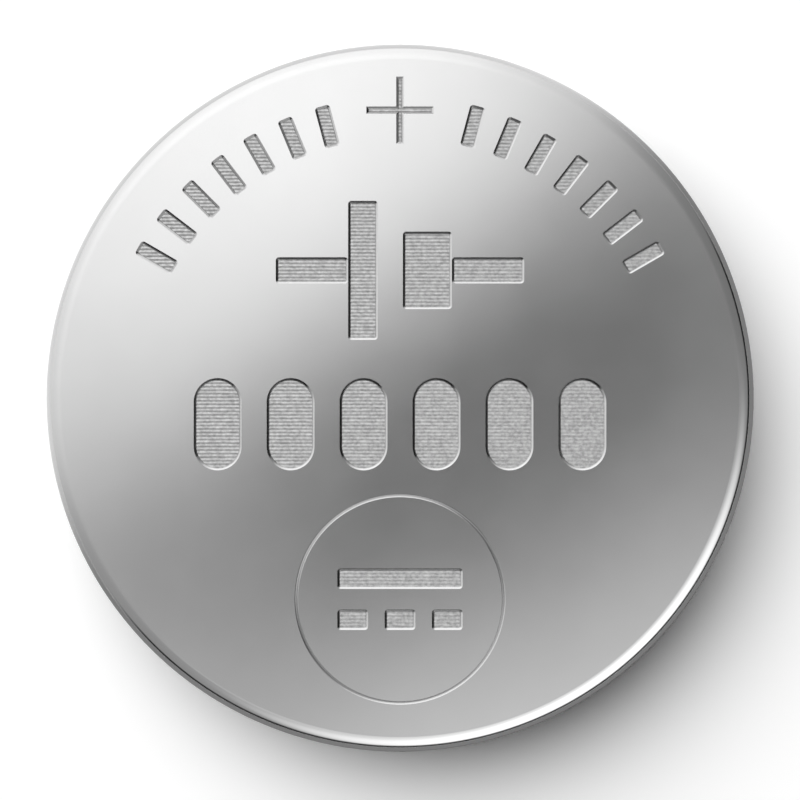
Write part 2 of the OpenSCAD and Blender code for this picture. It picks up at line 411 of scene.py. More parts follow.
def add_node(tree, kind, settings=None, sockets=()):
    """Adds a node with its settings, and links or sets the sockets given.

    Sockets come in order, or by name or place in a dictionary. A node given as a
    value stands for its first output.
    """
    made = tree.nodes.new(kind)
    for name, value in (settings or {}).items():
        setattr(made, name, value)
    if not isinstance(sockets, dict):
        sockets = dict(enumerate(sockets))
    for name, value in sockets.items():
        if isinstance(value, bpy.types.Node):
            value = value.outputs[0]
        if isinstance(value, bpy.types.NodeSocket):
            tree.links.new(value, made.inputs[name])
        else:
            made.inputs[name].default_value = value
    return made


def new_tree(name, inputs):
    """A geometry tree with named inputs; returns it and its input node."""
    tree = bpy.data.node_groups.new(name, "GeometryNodeTree")
    tree.interface.new_socket("Geometry", in_out="INPUT", socket_type="NodeSocketGeometry")
    for title, kind in inputs.items():
        tree.interface.new_socket(title, in_out="INPUT", socket_type="NodeSocket" + kind)
    tree.interface.new_socket("Geometry", in_out="OUTPUT", socket_type="NodeSocketGeometry")
    return tree, tree.nodes.new("NodeGroupInput")


def close_tree(tree, given, geometry):
    """Ends a tree with real copies in the material that it was given."""
    real = add_node(tree, "GeometryNodeRealizeInstances", None, (geometry,))
    dressed = add_node(tree, "GeometryNodeSetMaterial", None, {
        0: real, "Material": given.outputs["Material"],
    })
    add_node(tree, "NodeGroupOutput", None, (dressed,))
    return tree


def run_tree(source, tree, values, name):
    """Runs a tree on an object's data and returns its result as a plain object."""
    host = bpy.data.objects.new(name + "_host", source)
    bpy.context.scene.collection.objects.link(host)
    modifier = host.modifiers.new(tree.name, "NODES")
    modifier.node_group = tree
    for item in tree.interface.items_tree:
        if item.in_out == "INPUT" and item.name in values:
            modifier[item.identifier] = values[item.name]
    bpy.context.view_layer.update()
    evaluated = host.evaluated_get(bpy.context.evaluated_depsgraph_get())
    mesh = bpy.data.meshes.new_from_object(evaluated)
    bpy.data.objects.remove(host)
    mesh.name = name
    made = bpy.data.objects.new(name, mesh)
    bpy.context.scene.collection.objects.link(made)
    return made


def turning_tree():
    """Turns a section once round the cell's axis and welds its poles."""
    tree, given = new_tree("Turn a section", {
        "Ring radius": "Float", "Steps round": "Int", "Weld": "Float",
        "Material": "Material",
    })
    ring = add_node(tree, "GeometryNodeCurvePrimitiveCircle", None, {
        "Resolution": given.outputs["Steps round"],
        "Radius": given.outputs["Ring radius"],
    })
    level_ring = add_node(tree, "GeometryNodeSetCurveNormal", {"mode": "Z_UP"}, (ring,))
    swept = add_node(tree, "GeometryNodeCurveToMesh", None, {
        "Curve": level_ring, "Profile Curve": given.outputs["Geometry"],
    })
    welded = add_node(tree, "GeometryNodeMergeByDistance", None, {
        0: swept, "Distance": given.outputs["Weld"],
    })
    return close_tree(tree, given, welded)


def section_curve(name, points, ring_r, cyclic):
    """A section as a flat curve, set out from the ring that it is swept along."""
    curve = bpy.data.curves.new(name, "CURVE")
    curve.dimensions = "3D"
    spline = curve.splines.new("POLY")
    spline.points.add(len(points) - 1)
    for spot, point in zip(spline.points, points):
        spot.co = (point.x - ring_r, -point.y, 0, 1)
    spline.use_cyclic_u = cyclic
    return curve


def turned(name, section, s, cyclic, material):
    """A piece turned from its section, with its faces pointing outwards."""
    ahead = section[1:] + section[:1]
    area = sum(a.x * b.y - b.x * a.y for a, b in zip(section, ahead))
    points = section[::-1] if area > 0 else section
    curve = section_curve(name + "_section", points, s.cell_r, cyclic)
    return run_tree(curve, turning_tree(), {
        "Ring radius": s.cell_r, "Steps round": s.steps_round, "Weld": WELD,
        "Material": material,
    }, name)


def bar_outline(w, h, corner_r, steps):
    """A function that gives a bar's rounded outline, drawn in by an inset."""
    def outline(inset):
        r = max(corner_r - inset, WELD)
        x = w / 2 - inset - r
        y = h / 2 - inset - r
        corners = [(x, y, 0), (-x, y, 90), (-x, -y, 180), (x, -y, 270)]
        return [
            point for cx, cy, start in corners
            for point in arc(Vector((cx, cy)), r, start, start + 90, steps)
        ]
    return outline


def plus_outline(span, stroke):
    """A function that gives the plus sign's outline, drawn in by an inset."""
    def outline(inset):
        far = span / 2 - inset
        near = stroke / 2 - inset
        arm = [Vector((near, near)), Vector((near, far)), Vector((-near, far))]
        quarter = Vector((0, 1)), Vector((-1, 0))
        points = []
        for _ in range(4):
            points += arm
            arm = [p.x * quarter[0] + p.y * quarter[1] for p in arm]
        return points
    return outline


def sloped_blank(outline, m, s):
    """The mesh of a solid that strikes one mark: sloped below the face."""
    deep = m.depth + m.hatch_h + m.hatch_rough
    levels = [
        (m.wall_w * deep / m.depth, s.cell_h - deep),
        (0, s.cell_h),
        (0, s.cell_h + m.depth),
    ]
    bm = bmesh.new()
    loops = [
        [bm.verts.new((p.x, p.y, z)) for p in outline(inset)] for inset, z in levels
    ]
    for low, high in zip(loops, loops[1:]):
        for k in range(len(low)):
            bm.faces.new((low[k - 1], low[k], high[k], high[k - 1]))
    bm.faces.new(loops[0][::-1])
    bm.faces.new(loops[-1])
    mesh = bpy.data.meshes.new("blank")
    bm.to_mesh(mesh)
    bm.free()
    return mesh


def tick_tree():
    """Copies a blank along an arc on both sides of the plus sign."""
    tree, given = new_tree("Ticks on an arc", {
        "Ticks": "Int", "Radius": "Float", "First": "Float", "Last": "Float",
        "Material": "Material",
    })
    ticks, first = given.outputs["Ticks"], given.outputs["First"]
    index = add_node(tree, "GeometryNodeInputIndex")
    left = add_node(tree, MATH, LESS, (index, ticks))
    side = add_node(tree, MATH, SUBTRACT, (add_node(tree, MATH, MULTIPLY, (left, 2)), 1))
    sweep = add_node(tree, MATH, SUBTRACT, (given.outputs["Last"], first))
    gaps = add_node(tree, MATH, SUBTRACT, (ticks, 1))
    step = add_node(tree, MATH, DIVIDE, (sweep, gaps))
    rank = add_node(tree, MATH, MODULO, (index, ticks))
    along = add_node(tree, MATH, MULTIPLY, (rank, step))
    away = add_node(tree, MATH, ADD, (along, first))
    spin = add_node(tree, "ShaderNodeCombineXYZ", None, {
        "Z": add_node(tree, MATH, MULTIPLY, (side, away)),
    })
    reach = add_node(tree, "ShaderNodeCombineXYZ", None, {"Y": given.outputs["Radius"]})
    place = add_node(tree, "ShaderNodeVectorRotate", {"rotation_type": "EULER_XYZ"}, {
        "Vector": reach, "Rotation": spin,
    })
    points = add_node(tree, "GeometryNodePoints", None, {
        "Count": add_node(tree, MATH, MULTIPLY, (ticks, 2)), "Position": place,
    })
    copies = add_node(tree, "GeometryNodeInstanceOnPoints", None, {
        "Points": points, "Instance": given.outputs["Geometry"], "Rotation": spin,
    })
    return close_tree(tree, given, copies)


def row_tree():
    """Copies a blank in a level row round its middle."""
    tree, given = new_tree("Level row", {
        "Count": "Int", "First": "Vector", "Pitch": "Vector", "Material": "Material",
    })
    line = add_node(tree, "GeometryNodeMeshLine", None, {
        "Count": given.outputs["Count"], "Start Location": given.outputs["First"],
        "Offset": given.outputs["Pitch"],
    })
    copies = add_node(tree, "GeometryNodeInstanceOnPoints", None, {
        "Points": line, "Instance": given.outputs["Geometry"],
    })
    return close_tree(tree, given, copies)


def hatch_tree():
    """A slab over the face whose underside is ridged, like the die's floor."""
    tree, given = new_tree("Ridged slab", {
        "Width": "Float", "Rows": "Int", "Columns": "Int", "Ridge": "Float",
        "Roughness": "Float", "Grain": "Float", "Lift": "Vector",
        "Thickness": "Float", "Weld": "Float", "Material": "Material",
    })
    width, rows = given.outputs["Width"], given.outputs["Rows"]
    grid = add_node(tree, "GeometryNodeMeshGrid", None, {
        "Size X": width, "Size Y": width, "Vertices X": given.outputs["Columns"],
        "Vertices Y": rows,
    })
    index = add_node(tree, "GeometryNodeInputIndex")
    row = add_node(tree, MATH, MODULO, (index, rows))
    odd = add_node(tree, MATH, MODULO, (row, 2))
    noise = add_node(tree, "ShaderNodeTexNoise", None, {
        "Vector": add_node(tree, "GeometryNodeInputPosition"),
        "Scale": given.outputs["Grain"], "Detail": 1.0,
    })
    centred = add_node(tree, MATH, SUBTRACT, (noise, 0.5))
    wander = add_node(tree, MATH, MULTIPLY, (centred, given.outputs["Roughness"]))
    ridge = add_node(tree, MATH, MULTIPLY, (odd, given.outputs["Ridge"]))
    offset = add_node(tree, "ShaderNodeCombineXYZ", None, {
        "Z": add_node(tree, MATH, ADD, (ridge, wander)),
    })
    ridged = add_node(tree, "GeometryNodeSetPosition", None, {0: grid, "Offset": offset})
    lifted = add_node(tree, "GeometryNodeTransform", None, {
        0: ridged, "Translation": given.outputs["Lift"],
    })
    top = add_node(tree, "GeometryNodeExtrudeMesh", None, {
        "Mesh": lifted, "Offset": (0, 0, 1),
        "Offset Scale": given.outputs["Thickness"], "Individual": False,
    })
    under = add_node(tree, "GeometryNodeFlipFaces", None, (lifted,))
    both = add_node(tree, "GeometryNodeJoinGeometry")
    tree.links.new(top.outputs[0], both.inputs[0])
    tree.links.new(under.outputs[0], both.inputs[0])
    closed = add_node(tree, "GeometryNodeMergeByDistance", None, {
        0: both, "Distance": given.outputs["Weld"],
    })
    return close_tree(tree, given, closed)


def striking_tree():
    """Strikes the blanks, floored by the ridged slab, and the ring into a can."""
    tree, given = new_tree("Strike the marks", {
        "Blanks": "Collection", "Slab": "Object", "Ring": "Object",
        "Material": "Material",
    })
    blanks = add_node(tree, "GeometryNodeCollectionInfo", None, {
        "Collection": given.outputs["Blanks"],
    })
    solid = add_node(tree, "GeometryNodeRealizeInstances", None, (blanks,))
    slab = add_node(tree, "GeometryNodeObjectInfo", None, {
        "Object": given.outputs["Slab"],
    })
    ring = add_node(tree, "GeometryNodeObjectInfo", None, {
        "Object": given.outputs["Ring"],
    })
    floored = add_node(tree, "GeometryNodeMeshBoolean", {
        "operation": "INTERSECT", "solver": "MANIFOLD",
    })
    tree.links.new(solid.outputs[0], floored.inputs["Mesh 2"])
    tree.links.new(slab.outputs["Geometry"], floored.inputs["Mesh 2"])
    struck = add_node(tree, "GeometryNodeMeshBoolean", {
        "operation": "DIFFERENCE", "solver": "MANIFOLD",
    }, {"Mesh 1": given.outputs["Geometry"]})
    tree.links.new(floored.outputs[0], struck.inputs["Mesh 2"])
    tree.links.new(ring.outputs["Geometry"], struck.inputs["Mesh 2"])
    return close_tree(tree, given, struck)


def gather_blanks(m, s, material):
    """Every blank of a mark with a ridged floor, in a collection of their own."""
    blanks = bpy.data.collections.new("blanks")
    bpy.context.scene.collection.children.link(blanks)

    def keep(made, x=0, y=0):
        made.data.transform(Matrix.Translation((x, y, 0)))
        bpy.context.scene.collection.objects.unlink(made)
        blanks.objects.link(made)

    def single(name, outline, x, y):
        made = bpy.data.objects.new(name, sloped_blank(outline, m, s))
        bpy.context.scene.collection.objects.link(made)
        keep(made, x, y)

    def bar(w, h):
        return bar_outline(w, h, m.corner_r, CORNER_STEPS)

    def row(name, outline, copies, pitch, y):
        keep(run_tree(sloped_blank(outline, m, s), row_tree(), {
            "Count": copies, "First": (-(copies - 1) / 2 * pitch, 0, 0),
            "Pitch": (pitch, 0, 0), "Material": material,
        }, name), 0, y)

    single("plus", plus_outline(m.plus_span, m.plus_stroke), 0, s.cell_r - m.plus_inset)
    keep(run_tree(sloped_blank(bar(m.tick_w, m.tick_len), m, s), tick_tree(), {
        "Ticks": m.tick_count, "Radius": s.cell_r - m.tick_inset,
        "First": m.tick_from, "Last": m.tick_to, "Material": material,
    }, "ticks"))
    plates_w = m.long_plate_w + m.plate_gap + m.short_plate_w
    lead_len = (m.symbol_w - plates_w) / 2
    lead_x = (plates_w + lead_len) / 2
    single("long_plate", bar(m.long_plate_w, m.long_plate_h),
           (m.long_plate_w - plates_w) / 2, m.symbol_y)
    single("short_plate", bar(m.short_plate_w, m.short_plate_h),
           (plates_w - m.short_plate_w) / 2, m.symbol_y)
    single("left_lead", bar(lead_len, m.lead_w), -lead_x, m.symbol_y)
    single("right_lead", bar(lead_len, m.lead_w), lead_x, m.symbol_y)
    row("pills", bar_outline(m.pill_w, m.pill_h, m.pill_w / 2, ROUND_STEPS),
        m.pill_count, m.pill_pitch, -m.pill_drop)
    ring_y = m.ring_inset - s.cell_r
    single("unbroken_line", bar(m.dc_bar_w, m.dc_stroke), 0, ring_y + m.dc_pitch / 2)
    dash_w = (m.dc_bar_w - (m.dc_dashes - 1) * m.dc_gap) / m.dc_dashes
    row("dashes", bar(dash_w, m.dc_stroke), m.dc_dashes, dash_w + m.dc_gap,
        ring_y - m.dc_pitch / 2)
    return blanks


def ring_blank(m, s, material):
    """The blank of the thin ring: a groove of V section."""
    half = m.ring_line / 2
    deep = half * m.depth / m.wall_w
    made = turned("ring", [
        Vector((m.ring_r - half, s.cell_h)),
        Vector((m.ring_r, s.cell_h - deep)),
        Vector((m.ring_r + half, s.cell_h)),
        Vector((m.ring_r + half, s.cell_h + m.depth)),
        Vector((m.ring_r - half, s.cell_h + m.depth)),
    ], s, True, material)
    made.data.transform(Matrix.Translation((0, m.ring_inset - s.cell_r, 0)))
    return made


def crease(mesh):
    """Smooths the bends, and keeps flat faces and steep edges crisp."""
    bm = bmesh.new()
    bm.from_mesh(mesh)
    for face in bm.faces:
        face.smooth = True
    for edge in bm.edges:
        flat = [abs(face.normal.z) > FLAT for face in edge.link_faces]
        steep = edge.calc_face_angle(0) > CREASE
        edge.smooth = not steep and len(set(flat)) == 1
    bm.to_mesh(mesh)
    bm.free()
    mesh.update()


def new_material(name):
    """An empty material and its tree."""
    material = bpy.data.materials.new(name)
    material.use_nodes = True
    material.node_tree.nodes.clear()
    return material, material.node_tree


def grain(tree, size, stretch=(1, 1, 1), detail=2):
    """Noise with features of a real size, fixed to the object."""
    place = add_node(tree, "ShaderNodeTexCoord").outputs["Object"]
    mapped = add_node(tree, "ShaderNodeMapping", None, {
        "Vector": place, "Scale": stretch,
    })
    return add_node(tree, "ShaderNodeTexNoise", None, {
        "Vector": mapped, "Scale": 1 / size, "Detail": detail,
    })


def tinted(tree, rgb, noise, low, high):
    """A colour whose lightness follows a noise between two shares."""
    shade = add_node(tree, RANGE, None, (noise, *NOISE_SPAN, low, high))
    return add_node(tree, VECTOR, SCALE, {0: rgb, "Scale": shade})


def above(tree):
    """The height above the cell's negative contact."""
    place = add_node(tree, "ShaderNodeTexCoord").outputs["Object"]
    return add_node(tree, "ShaderNodeSeparateXYZ", None, (place,)).outputs["Z"]


def from_axis(tree):
    """The distance from the cell's axis."""
    place = add_node(tree, "ShaderNodeTexCoord").outputs["Object"]
    level_place = add_node(tree, VECTOR, MULTIPLY, (place, (1, 1, 0)))
    return add_node(tree, VECTOR, {"operation": "LENGTH"}, (level_place,)).outputs["Value"]


def struck_share(tree, s, m):
    """A value of 1 in the marks struck into the face, and 0 everywhere else."""
    edge_r = s.cell_r - s.can_edge_r
    share = add_node(tree, RANGE, None, (
        from_axis(tree), edge_r - m.wall_w, edge_r, 1, 0,
    ))
    for depths, low, high in ((STRUCK_FROM, 1, 0), (STRUCK_TO, 0, 1)):
        heights = [s.cell_h - depth * m.depth for depth in depths]
        limit = add_node(tree, RANGE, None, (above(tree), *heights, low, high))
        share = add_node(tree, MATH, MULTIPLY, (share, limit))
    return share


def nickel_plate(name, rgb, s, m=None):
    """Nickel-plated stainless sheet, rolled and then pressed.

    The eye sees a satin metal with a very fine matt grain and faint cloudy
    patches. The bends, which the die rubs, are a little brighter. The marks
    that are struck into the face keep the die's matt, coarser grain, and their
    floors are painted darker in a bead pattern, as shade in the recesses, with
    each furrow painted darker than the ridges beside it.
    """
    material, tree = new_material(name)
    fine = grain(tree, PLATE_GRAIN, (1, 1, 0.04))
    cloud = grain(tree, PLATE_CLOUD, (1, 1, 0.3), 3)
    satin = add_node(tree, RANGE, None, (fine, *NOISE_SPAN, *SATIN_ROUGHNESS))
    patches = add_node(tree, RANGE, None, (cloud, *NOISE_SPAN, 0, CLOUD_ROUGHNESS))
    rub = add_node(tree, RANGE, None, (
        from_axis(tree), s.cell_r - s.can_edge_r, s.cell_r, 0, RUB_ROUGHNESS,
    ))
    roughness = add_node(tree, MATH, ADD, (satin, patches))
    roughness = add_node(tree, MATH, ADD, (roughness, rub))
    tone_and_shade = add_node(tree, RANGE, None, (cloud, *NOISE_SPAN, *CLOUD_TINT))
    if m:
        struck = struck_share(tree, s, m)
        matt = add_node(tree, MATH, MULTIPLY, (struck, STRUCK_ROUGHNESS))
        roughness = add_node(tree, MATH, ADD, (roughness, matt))
        bead = grain(tree, BEAD_GRAIN, (0.8, 1, 0.3))
        # Painted shade: the struck floors are drawn darker than the face, in a bead
        # pattern.
        bead_tone_and_shade = add_node(tree, RANGE, None, (bead, *NOISE_SPAN, *BEAD_TONE_AND_SHADE))
        floor_z = s.cell_h - m.depth
        # Painted shade in each furrow, painted light on each ridge, by height.
        furrow_shade = add_node(tree, RANGE, None, (
            above(tree), floor_z - m.hatch_h / 2, floor_z + m.hatch_h / 2, *FURROW_SHADE,
        ))
        # In the marks the painted shade takes the place of the cloudy tone.
        tone_and_shade = add_node(tree, MIX, None, {
            0: struck, 2: tone_and_shade, 3: add_node(tree, MATH, MULTIPLY, (bead_tone_and_shade, furrow_shade)),
        })
    bump = add_node(tree, BUMP, None, {
        "Strength": 0.2, "Distance": 0.0003 * MM, "Height": fine,
    })
    shader = add_node(tree, SURFACE, None, {
        "Base Color": add_node(tree, VECTOR, SCALE, {0: rgb, "Scale": tone_and_shade}),
        "Metallic": 1.0, "Roughness": roughness, "Normal": bump,
    })
    add_node(tree, OUTPUT, None, (shader,))
    return material


def moulded_polypropylene(rgb):
    """Injection-moulded polypropylene: a dark, waxy, half-matt plastic."""
    material, tree = new_material("moulded polypropylene")
    flow = grain(tree, FLOW)
    bump = add_node(tree, BUMP, None, {
        "Strength": 0.4, "Distance": 0.002 * MM, "Height": grain(tree, MOULD_GRAIN),
    })
    shader = add_node(tree, SURFACE, None, {
        "Base Color": tinted(tree, rgb, flow, 0.9, 1.1),
        "Roughness": add_node(tree, RANGE, None, (flow, *NOISE_SPAN, 0.38, 0.48)),
        "IOR": 1.49, "Normal": bump,
    })
    add_node(tree, OUTPUT, None, (shader,))
    return material


def rolled_lithium(rgb):
    """Rolled lithium foil: a soft, dull white metal with rolling streaks."""
    material, tree = new_material("rolled lithium foil")
    streaks = grain(tree, ROLL_STREAK, (0.05, 1, 1), 4)
    bump = add_node(tree, BUMP, None, {
        "Strength": 0.5, "Distance": 0.003 * MM, "Height": streaks,
    })
    shader = add_node(tree, SURFACE, None, {
        "Base Color": tinted(tree, rgb, streaks, 0.88, 1.0), "Metallic": 1.0,
        "Roughness": add_node(tree, RANGE, None, (streaks, *NOISE_SPAN, 0.38, 0.5)),
        "Normal": bump,
    })
    add_node(tree, OUTPUT, None, (shader,))
    return material


def felt(rgb):
    """Non-woven felt of fine plastic fibres: white, matt and slightly fluffy."""
    material, tree = new_material("non-woven felt")
    along = grain(tree, FIBRE, (0.12, 1, 1), 4)
    across = grain(tree, FIBRE, (1, 0.12, 1), 4)
    fibres = add_node(tree, MATH, MAXIMUM, (along, across))
    bump = add_node(tree, BUMP, None, {
        "Strength": 0.8, "Distance": 0.01 * MM, "Height": fibres,
    })
    shader = add_node(tree, SURFACE, None, {
        "Base Color": tinted(tree, rgb, fibres, 0.86, 1.0), "Roughness": 0.92,
        "Sheen Weight": 0.3, "Normal": bump,
    })
    add_node(tree, OUTPUT, None, (shader,))
    return material


def pressed_powder(rgb):
    """Manganese dioxide and carbon pressed to a disc: sooty and granular."""
    material, tree = new_material("pressed manganese dioxide")
    grit = grain(tree, GRIT, detail=5)
    bump = add_node(tree, BUMP, None, {
        "Strength": 0.7, "Distance": 0.008 * MM, "Height": grit,
    })
    shader = add_node(tree, SURFACE, None, {
        "Base Color": tinted(tree, rgb, grit, 0.6, 1.4),
        "Roughness": add_node(tree, RANGE, None, (grit, *NOISE_SPAN, 0.75, 0.95)),
        "Normal": bump,
    })
    add_node(tree, OUTPUT, None, (shader,))
    return material


def expanded_sheet(rgb):
    """Slit and stretched stainless sheet: bright, with drawn strands."""
    material, tree = new_material("expanded stainless sheet")
    drawn = grain(tree, STRAND_STREAK, (0.1, 1, 1), 3)
    bump = add_node(tree, BUMP, None, {
        "Strength": 0.5, "Distance": 0.002 * MM, "Height": drawn,
    })
    shader = add_node(tree, SURFACE, None, {
        "Base Color": tinted(tree, rgb, drawn, 0.88, 1.0), "Metallic": 1.0,
        "Roughness": add_node(tree, RANGE, None, (drawn, *NOISE_SPAN, 0.24, 0.36)),
        "Normal": bump,
    })
    add_node(tree, OUTPUT, None, (shader,))
    return material


def white_paper(rgb, gain):
    """Matt white paper.

    What is seen of it, straight or mirrored, is lifted by the gain to plain white,
    wherever the cell doesn't shade it.
    """
    material, tree = new_material("matt white paper")
    path = add_node(tree, "ShaderNodeLightPath").outputs
    seen = path["Is Camera Ray"]
    for kind in ("Is Glossy Ray", "Is Transmission Ray"):
        seen = add_node(tree, MATH, MAXIMUM, (seen, path[kind]))
    lifted_rgb = [c * gain for c in rgb]
    plain, lifted = [
        add_node(tree, "ShaderNodeBsdfDiffuse", None, ((*paper, 1),))
        for paper in (rgb, lifted_rgb)
    ]
    shader = add_node(tree, "ShaderNodeMixShader", None, (seen, plain, lifted))
    add_node(tree, OUTPUT, None, (shader,))
    return material


def mirrored_shade_card(studio, rgb):
    """A grey card round one side of the cell, which only the metal sees: painted reflected
    shade, a dark line round the rim.
    """
    material, tree = new_material("matt grey card")
    place = add_node(tree, "ShaderNodeTexCoord").outputs["Object"]
    outwards = add_node(tree, VECTOR, {"operation": "NORMALIZE"}, (place,))
    turn = studio.card_bearing
    ahead = add_node(tree, VECTOR, DOT, (outwards, (math.cos(turn), math.sin(turn), 0)))
    share = add_node(tree, RANGE, SMOOTH, (ahead.outputs["Value"], *CARD_FADE, 1, 0))
    clear = add_node(tree, "ShaderNodeBsdfTransparent")
    grey = add_node(tree, "ShaderNodeBsdfDiffuse", None, ((*rgb, 1),))
    shader = add_node(tree, "ShaderNodeMixShader", None, (share, clear, grey))
    add_node(tree, OUTPUT, None, (shader,))
    bm = bmesh.new()
    bmesh.ops.create_circle(bm, cap_ends=True, segments=CARD_STEPS, radius=studio.card_r)
    bmesh.ops.translate(bm, verts=bm.verts, vec=(0, 0, CARD_LIFT))
    mesh = bpy.data.meshes.new("card")
    bm.to_mesh(mesh)
    bm.free()
    mesh.materials.append(material)
    card = bpy.data.objects.new("card", mesh)
    card.visible_camera = False
    card.visible_diffuse = False
    card.visible_shadow = False
    return card


def sky_direction(off_zenith, bearing):
    """A direction in the sky: degrees from straight up, and from +X towards +Y."""
    tilt, turn = math.radians(off_zenith), math.radians(bearing)
    return (
        math.sin(tilt) * math.cos(turn), math.sin(tilt) * math.sin(turn),
        math.cos(tilt),
    )


def studio_sky():
    """The light: a tent that metal mirrors, and a lamp that matt things take.

    The tent's top falls off from the upper left to a dark seam just past the
    middle, where the camera looks through, and brightens again beyond it. Its
    sides hang straight down, with a bright panel and a black skirt at the lower
    right. The camera sees plain white behind the cell.
    """
    world = bpy.data.worlds.new("studio tent")
    world.use_nodes = True
    tree = world.node_tree
    tree.nodes.clear()
    place = add_node(tree, "ShaderNodeTexCoord").outputs["Generated"]

    def towards(direction):
        return add_node(tree, VECTOR, DOT, (place, direction)).outputs["Value"]

    def glow(spot, most, fade):
        ends = [math.cos(math.radians(turn)) for turn in fade]
        near = towards(sky_direction(*spot))
        return add_node(tree, RANGE, SMOOTH, (near, *ends, most, 0))

    height = towards((0, 0, 1))
    square = add_node(tree, MATH, MULTIPLY, (height, height))
    steep = add_node(tree, MATH, ROOT, (add_node(tree, MATH, SUBTRACT, (1, square)),))
    outside = add_node(tree, MATH, MAXIMUM, (steep, TENT_EDGE))
    hang = add_node(tree, MATH, DIVIDE, (TENT_EDGE, outside))
    side = towards(sky_direction(90, SEAM_BEARING))
    across = add_node(tree, MATH, MULTIPLY, (hang, side))
    seam = towards(sky_direction(90, SEAM_BEARING + 90))
    along = add_node(tree, MATH, MULTIPLY, (hang, seam))

    first, last = TENT_LEVELS[0][0], TENT_LEVELS[-1][0]
    ramp = add_node(tree, "ShaderNodeValToRGB", None, (
        add_node(tree, RANGE, None, (across, first, last, 0, 1)),
    ))
    ramp.color_ramp.interpolation = "B_SPLINE"
    stops = ramp.color_ramp.elements
    stops.remove(stops[-1])
    for k, (place_across, bright) in enumerate(TENT_LEVELS):
        spot = (place_across - first) / (last - first)
        stop = stops[0] if k == 0 else stops.new(spot)
        stop.position = spot
        stop.color = (bright, bright, bright, 1)
    tent = add_node(tree, MATH, MULTIPLY, (ramp, TENT_BRIGHTEST))
    for haze_level, most, span in HAZES:
        haze = add_node(tree, RANGE, SMOOTH, (along, *span, 0, most))
        tent = add_node(tree, MIX, None, {0: haze, 2: tent, 3: haze_level})

    panel = glow(PANEL_PLACE, PANEL_LEVEL, PANEL_FADE)
    veil = glow(VEIL_PLACE, VEIL_LEVEL, VEIL_FADE)
    lit = add_node(tree, MATH, ADD, (tent, add_node(tree, MATH, ADD, (panel, veil))))
    behind = add_node(tree, RANGE, SMOOTH, (side, *SKIRT_SIDE, 0, SKIRT_SHARE))
    below = add_node(tree, RANGE, SMOOTH, (height, *SKIRT_SPAN, 1, 0))
    skirt = add_node(tree, MATH, MULTIPLY, (behind, below))
    lit = add_node(tree, MIX, None, {0: skirt, 2: lit, 3: 0.0})
    low = add_node(tree, RANGE, SMOOTH, (height, *HORIZON_FADE, 1, 0))
    mirrored = add_node(tree, MIX, None, {0: low, 2: lit, 3: 1.0})

    path = add_node(tree, "ShaderNodeLightPath").outputs
    straight = add_node(tree, MATH, LESS, (path["Diffuse Depth"], 1))
    glossy = add_node(tree, MATH, MULTIPLY, (path["Is Glossy Ray"], straight))
    lamp = glow(LAMP_PLACE, LAMP_LEVEL, LAMP_FADE)
    light = add_node(tree, MIX, None, {0: glossy, 2: lamp, 3: mirrored})
    seen = add_node(tree, MIX, None, {0: path["Is Camera Ray"], 2: light, 3: 1.0})
    background = add_node(tree, "ShaderNodeBackground", None, {
        "Color": (1, 1, 1, 1), "Strength": seen,
    })
    add_node(tree, "ShaderNodeOutputWorld", None, (background,))
    return world


def own(context, name):
    """One of the cell's groups of settings."""
    return getattr(context.scene, "cell_" + name)


def stand_in(made, node):
    """Hands a finished piece to the frame in place of its plain solid."""
    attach(made, "root")
    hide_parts(node)


class CELL_OT_can(bpy.types.Operator):
    """Turn the positive can and strike its marks"""

    bl_idname = "cell.can"
    bl_label = "Positive can"

    def execute(self, context):
        s, m = own(context, "section"), own(context, "marks")
        plate = nickel_plate(
            "satin nickel-plated steel", own(context, "colours").can, s, m
        )
        plain = turned("plain_can", can_section(s), s, False, plate)
        slab_w = 2 * s.cell_r
        # Each pitch has two rows of points, one on a ridge and one in a furrow.
        rows = 2 * round(slab_w / m.hatch_pitch) + 1
        slab = run_tree(bpy.data.meshes.new("slab"), hatch_tree(), {
            "Width": slab_w, "Rows": rows, "Columns": round(slab_w / m.hatch_step) + 1,
            "Ridge": m.hatch_h, "Roughness": m.hatch_rough, "Grain": 1 / m.hatch_pitch,
            "Lift": (0, 0, s.cell_h - m.depth - m.hatch_h / 2),
            "Thickness": SLAB_DEPTHS * m.depth, "Weld": WELD, "Material": plate,
        }, "slab")
        blanks = gather_blanks(m, s, plate)
        ring = ring_blank(m, s, plate)
        made = run_tree(plain.data, striking_tree(), {
            "Blanks": blanks, "Slab": slab, "Ring": ring, "Material": plate,
        }, "positive_can_struck")
        for spare in (plain, slab, ring, *blanks.objects):
            bpy.data.objects.remove(spare)
        bpy.data.collections.remove(blanks)
        crease(made.data)
        stand_in(made, "positive_can")
        return {"FINISHED"}


class CELL_OT_cap(bpy.types.Operator):
    """Turn the negative cap"""

    bl_idname = "cell.cap"
    bl_label = "Negative cap"

    def execute(self, context):
        s = own(context, "section")
        plate = nickel_plate("nickel-plated cap steel", own(context, "colours").cap, s)
        made = turned("negative_cap_pressed", cap_section(s), s, False, plate)
        crease(made.data)
        stand_in(made, "negative_cap")
        return {"FINISHED"}


class CELL_OT_gasket(bpy.types.Operator):
    """Turn the sealing gasket"""

    bl_idname = "cell.gasket"
    bl_label = "Sealing gasket"

    def execute(self, context):
        s = own(context, "section")
        plastic = moulded_polypropylene(own(context, "colours").gasket)
        made = turned("sealing_gasket_moulded", gasket_section(s), s, True, plastic)
        crease(made.data)
        stand_in(made, "sealing_gasket")
        return {"FINISHED"}


